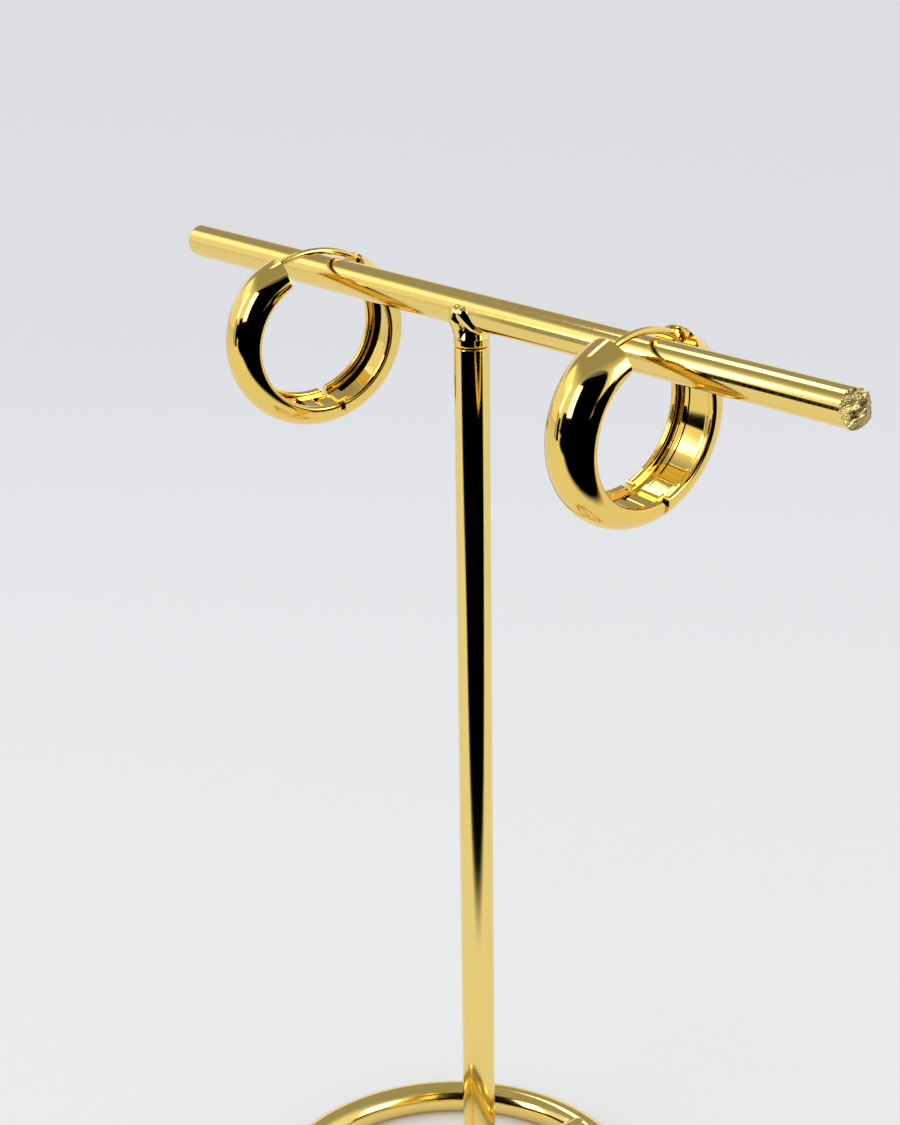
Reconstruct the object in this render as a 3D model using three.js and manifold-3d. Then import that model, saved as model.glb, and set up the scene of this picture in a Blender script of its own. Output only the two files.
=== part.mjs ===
// Pair of hinged hoop earrings hanging on a T-bar display stand.
// Units are millimetres, +Z is up and the stand's ring lies on the plane z = 0.
// X runs along the bar, and the hinged halves of the earrings face +Y.

import * as THREE from "three";
import { mergeVertices } from "three/addons/utils/BufferGeometryUtils.js";
import Module from "manifold-3d";

const wasm = await Module();
wasm.setup();

// Stand
const BAR_RADIUS = 2.0;
const BAR_LENGTH = 106.6;
const BAR_HEIGHT = 117.1; // axis of the bar above the surface
const BAR_BEVEL = 0.5;
const BAR_SHIFT = 0.7; // middle of the bar past the post's axis, towards +X
const CUT_END_TILT = 13; // degrees, the three facets of the roughly cut bar end
const CUT_END_PEAK = [0.45, -0.3]; // where the facets meet, as shares of the bar's radius in Y and Z
const POST_RADIUS = 2.0;
const POST_SETBACK = 4.4; // post and bar stand behind the ring's centre
const SEAM_DROP = 4.0; // seam of post and stub below the bar's axis
const SPIGOT_RADIUS = 1.2;
const SPIGOT_LENGTH = 2.2;
const RING_RADIUS = 22.8; // to the middle of the wire
const RING_WIRE_RADIUS = 2.0;
const RING_FLAT_DEPTH = 0.1; // ground flat under the ring wire
const CROSS_WIRE_RADIUS = 1.9;
const STUB_NECK_RADIUS = 1.7;
const STUB_BEAD_HEIGHT = 0.9; // full-width foot of the stub above the seam
const STUB_EDGE = 0.15; // bevel on both sides of the seam
const LOBE_RADIUS = 0.85; // rounded lobe of the stub that laps up the bar's front
const LOBE_RISE = 0.2; // middle of the lobe's round top above the bar's axis
const LOBE_SINK = 0.2; // middle of the lobe inside the bar's surface
const LIP_RADIUS = 0.42; // lip that runs from the lobe down to the bar's underside

// Earring band
const INNER_RADIUS = 8.2;
const BAND_HEIGHT = 3.0; // from the rims to the crown
const BAND_WIDTH = 6.4;
const RIM_WIDTH = 1.0;
const RIM_ROUND = 0.4;
const CHANNEL_DEPTH = 1.1;
const CHANNEL_FILLET = 0.25;
const TIP_DIP = 0.35; // the crown sinks towards the upper ends of both halves
const TIP_DIP_ARC = 25; // degrees over which it sinks

// Ends of the two halves, in degrees clockwise from the top, seen along -X
const FRONT_TIP_INNER = 328;
const FRONT_TIP_CROWN = 334;
const BACK_TIP_INNER = 37;
const BACK_TIP_CROWN = 30;
const HINGE_ANGLE = 172;

// Ear wire and catch
const WIRE_RADIUS = 0.4;
const WIRE_ROOT_ANGLE = 320;
const WIRE_TIP_ANGLE = 395.5;
const WIRE_SCOOP_RADIUS = 0.85;
const SOCKET_CLEARANCE = 0.35;
const SOCKET_DEPTH = 1.2;
const DISH_RADIUS = 2.4;
const DISH_DEPTH = 0.45;

// Hinge
const HINGE_RISE = 1.5; // pin axis from the rims' inner face
const OPEN_ANGLE = 45;
const PIN_RADIUS = 0.35;
const PIN_LENGTH = 4.2;
const HINGE_CLEARANCE = 0.2;
const KNUCKLE_WALL = 0.25;
const SLIT = 0.3;
const RELIEF_MARGIN = 0.1;
const TONGUE_WIDTH = 2.6;
const NECK_RISE = 0.3; // outer face of the tongue's neck from the pin's axis
const HINGE_BLOCK_RISE = 0.55; // inner face of the plate in the channel from the rims' inner face
const HINGE_BLOCK_ARC = 17; // degrees of channel that the plate fills in each half

// How the pair hangs: distance along the bar from the post, hoop's centre to the front of the
// bar, rise of the wire's arc above the rims' inner face, and in degrees the turn about the
// upright and the lean along the bar
const LEFT_ALONG = -25.2;
const LEFT_OFFSET = 2.0;
const LEFT_WIRE_RISE = 2.0;
const LEFT_TURN = -11.8;
const LEFT_LEAN = 5.2;
const RIGHT_ALONG = 27.5;
const RIGHT_OFFSET = 1.4;
const RIGHT_WIRE_RISE = 1.5;
const RIGHT_TURN = -0.2;
const RIGHT_LEAN = 4.7;

// Clearances and mesh fineness
const SEAT_GAP = 0.3;
const OVERCUT = 1.0;
const BAND_STEPS = 64;
const DOME_STEPS = 10;
const CORNER_STEPS = 2;
const WIRE_SIDES = 10;
const WIRE_STEPS = 18;
const ROD_SIDES = 28;
const SMALL_SIDES = 16;
const RING_STEPS = 60;
const RING_SIDES = 14;

const RAD = Math.PI / 180;
const POST_X = -BAR_SHIFT; // x = 0 is the middle of the bar
const CROWN_RADIUS = INNER_RADIUS + BAND_HEIGHT;
const HINGE_RADIUS = INNER_RADIUS + HINGE_RISE;
const HINGE_BLOCK_RADIUS = INNER_RADIUS + HINGE_BLOCK_RISE;
const HANGING = [
  {
    name: "left", along: LEFT_ALONG, offset: LEFT_OFFSET, turn: LEFT_TURN, lean: LEFT_LEAN,
    wireArc: INNER_RADIUS + LEFT_WIRE_RISE,
  },
  {
    name: "right", along: RIGHT_ALONG, offset: RIGHT_OFFSET, turn: RIGHT_TURN, lean: RIGHT_LEAN,
    wireArc: INNER_RADIUS + RIGHT_WIRE_RISE,
  },
];

// Solids

function toSolid(geometry) {
  const bare = geometry.clone();
  bare.deleteAttribute("normal");
  bare.deleteAttribute("uv");
  const merged = mergeVertices(bare, 1e-5);
  return new wasm.Manifold(new wasm.Mesh({
    numProp: 3,
    vertProperties: new Float32Array(merged.attributes.position.array),
    triVerts: new Uint32Array(merged.index.array),
  }));
}

function toGeometry(solid) {
  const mesh = solid.getMesh();
  const geometry = new THREE.BufferGeometry();
  geometry.setAttribute("position", new THREE.BufferAttribute(mesh.vertProperties, 3));
  geometry.setIndex(new THREE.BufferAttribute(mesh.triVerts, 1));
  geometry.computeVertexNormals();
  return geometry;
}

// A cylinder from one point to another, given as [x, y, z]
function rod(from, to, radius, sides = SMALL_SIDES) {
  const start = new THREE.Vector3(...from);
  const end = new THREE.Vector3(...to);
  const geometry = new THREE.CylinderGeometry(radius, radius, start.distanceTo(end), sides);
  const along = new THREE.Vector3().subVectors(end, start).normalize();
  const turn = new THREE.Quaternion().setFromUnitVectors(new THREE.Vector3(0, 1, 0), along);
  geometry.applyQuaternion(turn);
  geometry.translate(...new THREE.Vector3().addVectors(start, end).multiplyScalar(0.5).toArray());
  return toSolid(geometry);
}

function ball(centre, radius) {
  const geometry = new THREE.SphereGeometry(radius, SMALL_SIDES, SMALL_SIDES / 2);
  geometry.translate(...centre);
  return toSolid(geometry);
}

// A half space as a large box whose face passes through point, removed side along normal
function slab(point, normal, size) {
  const geometry = new THREE.BoxGeometry(size, size, size);
  geometry.translate(0, 0, size / 2);
  const turn = new THREE.Quaternion().setFromUnitVectors(
    new THREE.Vector3(0, 0, 1), new THREE.Vector3(...normal).normalize());
  geometry.applyQuaternion(turn);
  geometry.translate(...point);
  return toSolid(geometry);
}

// A flat outline of [y, z] points in the hoop's plane, made width wide along X
function prism(outline, width) {
  const shape = new THREE.Shape(outline.map(([y, z]) => new THREE.Vector2(y, z)));
  const geometry = new THREE.ExtrudeGeometry(shape, { depth: width, bevelEnabled: false });
  geometry.translate(0, 0, -width / 2);
  const axes = new THREE.Matrix4().makeBasis(
    new THREE.Vector3(0, 1, 0), new THREE.Vector3(0, 0, 1), new THREE.Vector3(1, 0, 0));
  geometry.applyMatrix4(axes);
  return toSolid(geometry);
}

// Point [y, z] of the hoop's plane at an angle from the top
function polar(radius, angle) {
  return [radius * Math.sin(angle * RAD), radius * Math.cos(angle * RAD)];
}

// Point [y, z] given along the band (towards the front half) and outwards from the pin's axis
function fromPin(forward, outward) {
  const [y, z] = polar(HINGE_RADIUS, HINGE_ANGLE);
  const out = polar(1, HINGE_ANGLE);
  const ahead = [out[1], -out[0]];
  return [y + outward * out[0] + forward * ahead[0], z + outward * out[1] + forward * ahead[1]];
}

// Stand

function makeRingBase() {
  const middle = RING_WIRE_RADIUS - RING_FLAT_DEPTH;
  const section = [];
  for (let i = 0; i <= RING_SIDES; i += 1) {
    const angle = (i / RING_SIDES) * 2 * Math.PI;
    section.push(new THREE.Vector2(
      RING_RADIUS + RING_WIRE_RADIUS * Math.cos(angle), middle + RING_WIRE_RADIUS * Math.sin(angle)));
  }
  section[RING_SIDES] = section[0].clone();
  const ring = new THREE.LatheGeometry(section, RING_STEPS);
  ring.rotateX(Math.PI / 2);
  ring.translate(POST_X, 0, 0);
  const cross = rod([POST_X, -RING_RADIUS, middle], [POST_X, RING_RADIUS, middle], CROSS_WIRE_RADIUS);
  const bore = rod([POST_X, POST_SETBACK, middle + CROSS_WIRE_RADIUS + OVERCUT],
    [POST_X, POST_SETBACK, postFoot() - SPIGOT_LENGTH - SEAT_GAP], SPIGOT_RADIUS + SEAT_GAP);
  return toSolid(ring).add(cross).subtract(bore)
    .subtract(slab([0, 0, 0], [0, 0, -1], 4 * RING_RADIUS));
}

function postFoot() {
  return RING_WIRE_RADIUS - RING_FLAT_DEPTH + CROSS_WIRE_RADIUS + SEAT_GAP;
}

function postTop() {
  return BAR_HEIGHT - SEAM_DROP - SEAT_GAP;
}

// Solid of revolution about the Z axis through [radius, height] points
function turned(points, sides) {
  const geometry = new THREE.LatheGeometry(
    points.map(([radius, height]) => new THREE.Vector2(radius, height)), sides);
  geometry.rotateX(Math.PI / 2);
  return toSolid(geometry);
}

function makePost() {
  const foot = postFoot();
  const top = postTop();
  return turned([
    [0, foot - SPIGOT_LENGTH], [SPIGOT_RADIUS, foot - SPIGOT_LENGTH], [SPIGOT_RADIUS, foot],
    [POST_RADIUS, foot], [POST_RADIUS, top - STUB_EDGE], [POST_RADIUS - STUB_EDGE, top],
    [SPIGOT_RADIUS, top], [SPIGOT_RADIUS, top + SPIGOT_LENGTH], [0, top + SPIGOT_LENGTH],
  ], ROD_SIDES);
}

// Round bar with a bevelled end at -X and a roughly cut, three-faceted end at +X
function makeBarRod() {
  const half = BAR_LENGTH / 2;
  const profile = [
    [0, -half], [BAR_RADIUS - BAR_BEVEL, -half], [BAR_RADIUS, -half + BAR_BEVEL],
    [BAR_RADIUS, half], [0, half],
  ].map(([radius, along]) => new THREE.Vector2(radius, along));
  const geometry = new THREE.LatheGeometry(profile, ROD_SIDES);
  geometry.rotateZ(-Math.PI / 2);
  let bar = toSolid(geometry);
  for (const facet of [20, 140, 260]) {
    const tilt = CUT_END_TILT * RAD;
    const normal = [Math.cos(tilt), Math.sin(tilt) * Math.cos(facet * RAD),
      Math.sin(tilt) * Math.sin(facet * RAD)];
    const peak = CUT_END_PEAK.map((share) => share * BAR_RADIUS);
    bar = bar.subtract(slab([half, ...peak], normal, BAR_LENGTH));
  }
  return bar;
}

function capsule(from, to, radius) {
  return rod(from, to, radius).add(ball(from, radius)).add(ball(to, radius));
}

// The stub's top laps up the bar's front in a rounded lobe, with a lip down to the underside
function makeSaddle() {
  const front = -(BAR_RADIUS - LOBE_SINK);
  const lobe = capsule([0, front, -SEAM_DROP / 2], [0, front, LOBE_RISE], LOBE_RADIUS);
  const lip = capsule([LOBE_RADIUS / 2, front, LOBE_RISE],
    [POST_RADIUS - LIP_RADIUS / 2, -BAR_RADIUS / 2, -BAR_RADIUS + LIP_RADIUS], LIP_RADIUS);
  return lobe.add(lip);
}

function makeStub() {
  return turned([
    [0, -SEAM_DROP], [POST_RADIUS - STUB_EDGE, -SEAM_DROP], [POST_RADIUS, -SEAM_DROP + STUB_EDGE],
    [POST_RADIUS, -SEAM_DROP + STUB_BEAD_HEIGHT], [STUB_NECK_RADIUS, -BAR_RADIUS],
    [STUB_NECK_RADIUS, 0], [0, 0],
  ], ROD_SIDES);
}

function makeTBar() {
  const bore = rod([0, 0, -SEAM_DROP - OVERCUT], [0, 0, -SEAM_DROP + SPIGOT_LENGTH + SEAT_GAP],
    SPIGOT_RADIUS + SEAT_GAP);
  const head = makeStub().add(makeSaddle()).subtract(bore);
  return makeBarRod().add(head.translate([-BAR_SHIFT, 0, 0]));
}

// Earring band

// Closed section of the band as [radius, place across the width]
function bandSection() {
  const half = BAND_WIDTH / 2;
  const shoulder = INNER_RADIUS + RIM_ROUND;
  const floor = INNER_RADIUS + CHANNEL_DEPTH;
  const points = [];
  for (let i = 0; i <= DOME_STEPS; i += 1) {
    const angle = (i / DOME_STEPS) * Math.PI;
    points.push([shoulder + (CROWN_RADIUS - shoulder) * Math.sin(angle), -half * Math.cos(angle)]);
  }
  const rim = [];
  for (let i = 1; i <= CORNER_STEPS; i += 1) {
    const angle = (i / CORNER_STEPS) * (Math.PI / 2);
    rim.push([shoulder - RIM_ROUND * Math.sin(angle), half - RIM_ROUND * (1 - Math.cos(angle))]);
  }
  rim.push([INNER_RADIUS, half - RIM_WIDTH]);
  rim.push([floor - CHANNEL_FILLET, half - RIM_WIDTH - CHANNEL_FILLET / 2]);
  rim.push([floor, half - RIM_WIDTH - 1.5 * CHANNEL_FILLET]);
  const mirrored = rim.map(([radius, across]) => [radius, -across]).reverse();
  return [...points, ...rim, ...mirrored, points[0]];
}

// How far the crown has sunk at an angle from the top, from 0 to 1
function tipShare(angle) {
  const beyondBack = BACK_TIP_CROWN + TIP_DIP_ARC - angle;
  const beyondFront = angle - (FRONT_TIP_CROWN - TIP_DIP_ARC);
  const share = Math.min(1, Math.max(0, beyondBack, beyondFront) / TIP_DIP_ARC);
  return share * share * (3 - 2 * share);
}

function makeBand() {
  const section = bandSection().map(([radius, across]) => new THREE.Vector2(radius, across));
  const geometry = new THREE.LatheGeometry(section, BAND_STEPS);
  geometry.rotateZ(-Math.PI / 2);
  const place = geometry.attributes.position;
  const shoulder = INNER_RADIUS + RIM_ROUND;
  for (let i = 0; i < place.count; i += 1) {
    const y = place.getY(i);
    const z = place.getZ(i);
    const radius = Math.hypot(y, z);
    const angle = (Math.atan2(y, z) / RAD + 360) % 360;
    const dome = Math.max(0, radius - shoulder) / (CROWN_RADIUS - shoulder);
    const scale = (radius - TIP_DIP * tipShare(angle) * dome) / radius;
    place.setXYZ(i, place.getX(i), y * scale, z * scale);
  }
  return toSolid(geometry);
}

// Wedge between two lines of the hoop's plane, round the given side, by steps of an arc
function wedge(fromInner, fromOuter, toOuter, toInner, startAngle, endAngle) {
  const reach = CROWN_RADIUS + OVERCUT;
  const points = [fromInner, fromOuter];
  const steps = 8;
  for (let i = 1; i < steps; i += 1) {
    const angle = startAngle + ((endAngle - startAngle) * i) / steps;
    points.push(polar(reach / Math.cos(((endAngle - startAngle) / steps) * RAD / 2), angle));
  }
  points.push(toOuter, toInner, [0, 0]);
  return prism(points, BAND_WIDTH + 2 * OVERCUT);
}

// A point on the line through two polar places, at another radius
function onEndLine(innerAngle, crownAngle, radius) {
  const a = polar(INNER_RADIUS, innerAngle);
  const b = polar(CROWN_RADIUS, crownAngle);
  const share = (radius - INNER_RADIUS) / (CROWN_RADIUS - INNER_RADIUS);
  return [a[0] + (b[0] - a[0]) * share, a[1] + (b[1] - a[1]) * share];
}

const KNUCKLE_RADIUS = PIN_RADIUS + HINGE_CLEARANCE + KNUCKLE_WALL;
const FRONT_FACE = -KNUCKLE_RADIUS;
const BACK_FACE = FRONT_FACE - SLIT;
const END_REACH = CROWN_RADIUS - HINGE_RADIUS + OVERCUT;

function frontWedge() {
  return wedge(fromPin(FRONT_FACE, -INNER_RADIUS / 2), fromPin(FRONT_FACE, END_REACH),
    onEndLine(FRONT_TIP_INNER, FRONT_TIP_CROWN, CROWN_RADIUS + OVERCUT),
    onEndLine(FRONT_TIP_INNER, FRONT_TIP_CROWN, INNER_RADIUS - OVERCUT),
    HINGE_ANGLE, FRONT_TIP_CROWN);
}

function backWedge() {
  return wedge(onEndLine(BACK_TIP_INNER, BACK_TIP_CROWN, INNER_RADIUS - OVERCUT),
    onEndLine(BACK_TIP_INNER, BACK_TIP_CROWN, CROWN_RADIUS + OVERCUT),
    fromPin(BACK_FACE, END_REACH), fromPin(BACK_FACE, -INNER_RADIUS / 2),
    BACK_TIP_CROWN, HINGE_ANGLE);
}

// Plate that fills the channel next to the hinge, inside the rims
function channelPlate(fromAngle, toAngle, width) {
  const deep = INNER_RADIUS + CHANNEL_DEPTH + CHANNEL_FILLET;
  const steps = 4;
  const inner = [];
  const outer = [];
  for (let i = 0; i <= steps; i += 1) {
    const angle = fromAngle + ((toAngle - fromAngle) * i) / steps;
    inner.push(polar(HINGE_BLOCK_RADIUS, angle));
    outer.unshift(polar(deep, angle));
  }
  return prism([...inner, ...outer], width);
}

class EarWireArc extends THREE.Curve {
  constructor(radius) {
    super();
    this.radius = radius;
  }

  getPoint(share, target = new THREE.Vector3()) {
    const angle = WIRE_ROOT_ANGLE + (WIRE_TIP_ANGLE - WIRE_ROOT_ANGLE) * share;
    const [y, z] = polar(this.radius, angle);
    return target.set(0, y, z);
  }
}

function makeEarWire(wireArc) {
  const circle = new THREE.Shape();
  for (let i = 0; i < WIRE_SIDES; i += 1) {
    const angle = (i / WIRE_SIDES) * 2 * Math.PI;
    const point = [WIRE_RADIUS * Math.cos(angle), WIRE_RADIUS * Math.sin(angle)];
    if (i === 0) circle.moveTo(...point);
    else circle.lineTo(...point);
  }
  const wire = new THREE.ExtrudeGeometry(circle, {
    steps: WIRE_STEPS, extrudePath: new EarWireArc(wireArc), bevelEnabled: false,
  });
  const [y, z] = polar(wireArc, WIRE_TIP_ANGLE);
  return toSolid(wire).add(ball([0, y, z], WIRE_RADIUS));
}

function pinBore() {
  const [y, z] = polar(HINGE_RADIUS, HINGE_ANGLE);
  const half = PIN_LENGTH / 2 + HINGE_CLEARANCE;
  return rod([-half, y, z], [half, y, z], PIN_RADIUS + HINGE_CLEARANCE);
}

// Room in the front half for the tongue at rest and as it turns open
function tongueSlot() {
  const width = TONGUE_WIDTH + 2 * HINGE_CLEARANCE;
  const [y, z] = polar(HINGE_RADIUS, HINGE_ANGLE);
  const round = rod([-width / 2, y, z], [width / 2, y, z], KNUCKLE_RADIUS + HINGE_CLEARANCE);
  const side = KNUCKLE_RADIUS + HINGE_CLEARANCE;
  const rise = NECK_RISE + HINGE_CLEARANCE;
  const open = OPEN_ANGLE * RAD;
  const corner = [rise * Math.sin(open), rise * Math.cos(open)];
  const reach = END_REACH * 2;
  const swept = prism([
    fromPin(corner[0], corner[1]),
    fromPin(corner[0] - reach * Math.cos(open), corner[1] + reach * Math.sin(open)),
    fromPin(-reach, 0),
    fromPin(-side - OVERCUT, -side - OVERCUT),
    fromPin(side, -side - OVERCUT),
    fromPin(side, 0),
  ], width);
  return round.add(swept);
}

// Plane that opens the slit to a V outside the pin, so that the back half can turn
function reliefCut() {
  const open = OPEN_ANGLE * RAD;
  const distance = -BACK_FACE - RELIEF_MARGIN;
  const foot = fromPin(-distance * Math.cos(open), distance * Math.sin(open));
  const beyond = fromPin(-(distance + 1) * Math.cos(open), (distance + 1) * Math.sin(open));
  return slab([0, ...foot], [0, beyond[0] - foot[0], beyond[1] - foot[1]], BAND_WIDTH + 2 * OVERCUT);
}

function makeFrontHalf(wireArc) {
  const [rootY, rootZ] = onEndLine(FRONT_TIP_INNER, FRONT_TIP_CROWN, wireArc);
  const plate = channelPlate(HINGE_ANGLE - HINGE_BLOCK_ARC / 2, HINGE_ANGLE + HINGE_BLOCK_ARC,
    BAND_WIDTH - RIM_WIDTH);
  return makeBand().add(plate).intersect(frontWedge())
    .subtract(reliefCut())
    .subtract(tongueSlot())
    .subtract(pinBore())
    .subtract(ball([0, rootY, rootZ], WIRE_SCOOP_RADIUS))
    .add(makeEarWire(wireArc));
}

function makeTongue() {
  const [y, z] = polar(HINGE_RADIUS, HINGE_ANGLE);
  const half = TONGUE_WIDTH / 2;
  const knuckle = rod([-half, y, z], [half, y, z], KNUCKLE_RADIUS);
  const neck = prism([
    fromPin(0, -KNUCKLE_RADIUS), fromPin(0, NECK_RISE),
    fromPin(BACK_FACE - OVERCUT, NECK_RISE), fromPin(BACK_FACE - OVERCUT, -KNUCKLE_RADIUS),
  ], TONGUE_WIDTH);
  return knuckle.add(neck);
}

// Socket and dish for the wire's tip, cut into the back half's upper end
function makeSocket(wireArc) {
  const mouth = onEndLine(BACK_TIP_INNER, BACK_TIP_CROWN, wireArc);
  const ahead = [mouth[1] / wireArc, -mouth[0] / wireArc];
  const place = (depth) => [0, mouth[0] + depth * ahead[0], mouth[1] + depth * ahead[1]];
  const bore = rod(place(-OVERCUT), place(SOCKET_DEPTH), WIRE_RADIUS + SOCKET_CLEARANCE);
  return bore.add(ball(place(DISH_DEPTH - DISH_RADIUS), DISH_RADIUS));
}

function makeBackHalf(wireArc) {
  const plate = channelPlate(HINGE_ANGLE - HINGE_BLOCK_ARC, HINGE_ANGLE, TONGUE_WIDTH);
  return makeBand().add(plate).intersect(backWedge())
    .add(makeTongue())
    .subtract(pinBore())
    .subtract(makeSocket(wireArc));
}

function makeHingePin() {
  const [y, z] = polar(HINGE_RADIUS, HINGE_ANGLE);
  return rod([-PIN_LENGTH / 2, y, z], [PIN_LENGTH / 2, y, z], PIN_RADIUS);
}

// Assembly

function metal(name, color, roughness) {
  const material = new THREE.MeshStandardMaterial({ color, roughness, metalness: 1 });
  material.name = name;
  return material;
}

function addMesh(parent, name, solid, material) {
  const mesh = new THREE.Mesh(toGeometry(solid), material);
  mesh.name = name;
  parent.add(mesh);
  return mesh;
}

// The wire's underside rests on top of the bar, and the earring turns and leans about that point
function makeEarring({ name, along, offset, turn, lean, wireArc }) {
  const inside = wireArc - WIRE_RADIUS;
  const pivot = new THREE.Group();
  pivot.position.set(POST_X + along, POST_SETBACK, BAR_HEIGHT + BAR_RADIUS + SEAT_GAP);
  pivot.rotation.set(0, lean * RAD, turn * RAD, "ZYX");
  const hoop = new THREE.Group();
  hoop.position.set(0, -offset, -Math.sqrt(inside * inside - offset * offset));
  pivot.add(hoop);
  addMesh(hoop, `${name}_front_half`, makeFrontHalf(wireArc), metal("polished_gold", 0xd9a93f, 0.12));
  addMesh(hoop, `${name}_back_half`, makeBackHalf(wireArc), metal("polished_gold", 0xd9a93f, 0.14));
  addMesh(hoop, `${name}_hinge_pin`, makeHingePin(), metal("pin_gold", 0xc99a38, 0.25));
  return pivot;
}

const group = new THREE.Group();
addMesh(group, "ring_base", makeRingBase(), metal("stand_gold", 0xcfa548, 0.22));
addMesh(group, "post", makePost(), metal("stand_gold", 0xcfa548, 0.22))
  .position.set(POST_X, POST_SETBACK, 0);
addMesh(group, "t_bar", makeTBar(), metal("stand_gold", 0xd2ab52, 0.26))
  .position.set(0, POST_SETBACK, BAR_HEIGHT);
for (const earring of HANGING) group.add(makeEarring(earring));

export default group;
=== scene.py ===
"""Looks of a pair of hinged hoop earrings that hang on a T-bar display stand.

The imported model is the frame. Each piece is modelled on the bench in millimetres, in the hoop's
own axes or the stand's, and is then settled in the frame, in metres, at its part's place.
"""

import logging
import math
from dataclasses import dataclass, field
from enum import Enum
from functools import cache
from typing import Callable

import bmesh
import bpy
from mathutils import Matrix, Vector


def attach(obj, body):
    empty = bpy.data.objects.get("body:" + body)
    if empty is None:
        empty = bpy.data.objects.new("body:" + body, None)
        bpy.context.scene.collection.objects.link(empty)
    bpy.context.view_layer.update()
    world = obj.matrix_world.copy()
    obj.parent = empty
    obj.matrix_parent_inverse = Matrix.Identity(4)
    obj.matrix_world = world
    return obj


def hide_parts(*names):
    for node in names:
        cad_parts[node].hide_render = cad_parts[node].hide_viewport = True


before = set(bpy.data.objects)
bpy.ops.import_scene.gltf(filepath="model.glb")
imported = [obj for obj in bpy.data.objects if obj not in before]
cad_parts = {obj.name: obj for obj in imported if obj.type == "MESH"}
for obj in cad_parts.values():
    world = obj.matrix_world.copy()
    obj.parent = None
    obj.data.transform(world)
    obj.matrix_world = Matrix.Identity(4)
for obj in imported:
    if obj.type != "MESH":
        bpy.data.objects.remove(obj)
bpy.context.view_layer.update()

LOG = logging.getLogger("earring_stand")
MM = 0.001
NEAR = 0.01  # slack of a test on places, in millimetres
HAIR = 0.001  # slack where two places are meant to be the same

Triple = tuple[float, float, float]
Colour = Triple
Test = Callable[[Vector], bool]
Piece = bpy.types.Object
Socket = bpy.types.NodeSocket

WHITE: Colour = (1.0, 1.0, 1.0)
ORIGIN = Vector((0, 0, 0))
X_AXIS = Vector((1, 0, 0))
Y_AXIS = Vector((0, 1, 0))
Z_AXIS = Vector((0, 0, 1))


class Element(Enum):
    """What a pick selects in edit mode."""

    VERTEX = "VERT"
    FACE = "FACE"


class Cut(Enum):
    """How one workpiece is combined with another."""

    JOIN = "UNION"
    REMOVE = "DIFFERENCE"


class Grain(Enum):
    """Direction of the drawn lines in a rod's surface."""

    ALONG_BAR = (1.0, 0.012, 0.012)
    UPRIGHT = (0.012, 0.012, 1.0)
    EVEN = (1.0, 1.0, 1.0)


def activate(piece: Piece) -> None:
    """Makes a piece the only selected object, in object mode.

    Args:
        piece: The object to work on.
    """
    if bpy.context.mode != "OBJECT":
        bpy.ops.object.mode_set(mode="OBJECT")
    for other in bpy.context.selected_objects:
        other.select_set(False)
    piece.select_set(True)
    bpy.context.view_layer.objects.active = piece


def turned_towards(axis: Vector) -> Triple:
    """Finds the turn that lays an upright axis along another, as angles."""
    return tuple(Z_AXIS.rotation_difference(axis).to_euler())


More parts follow.
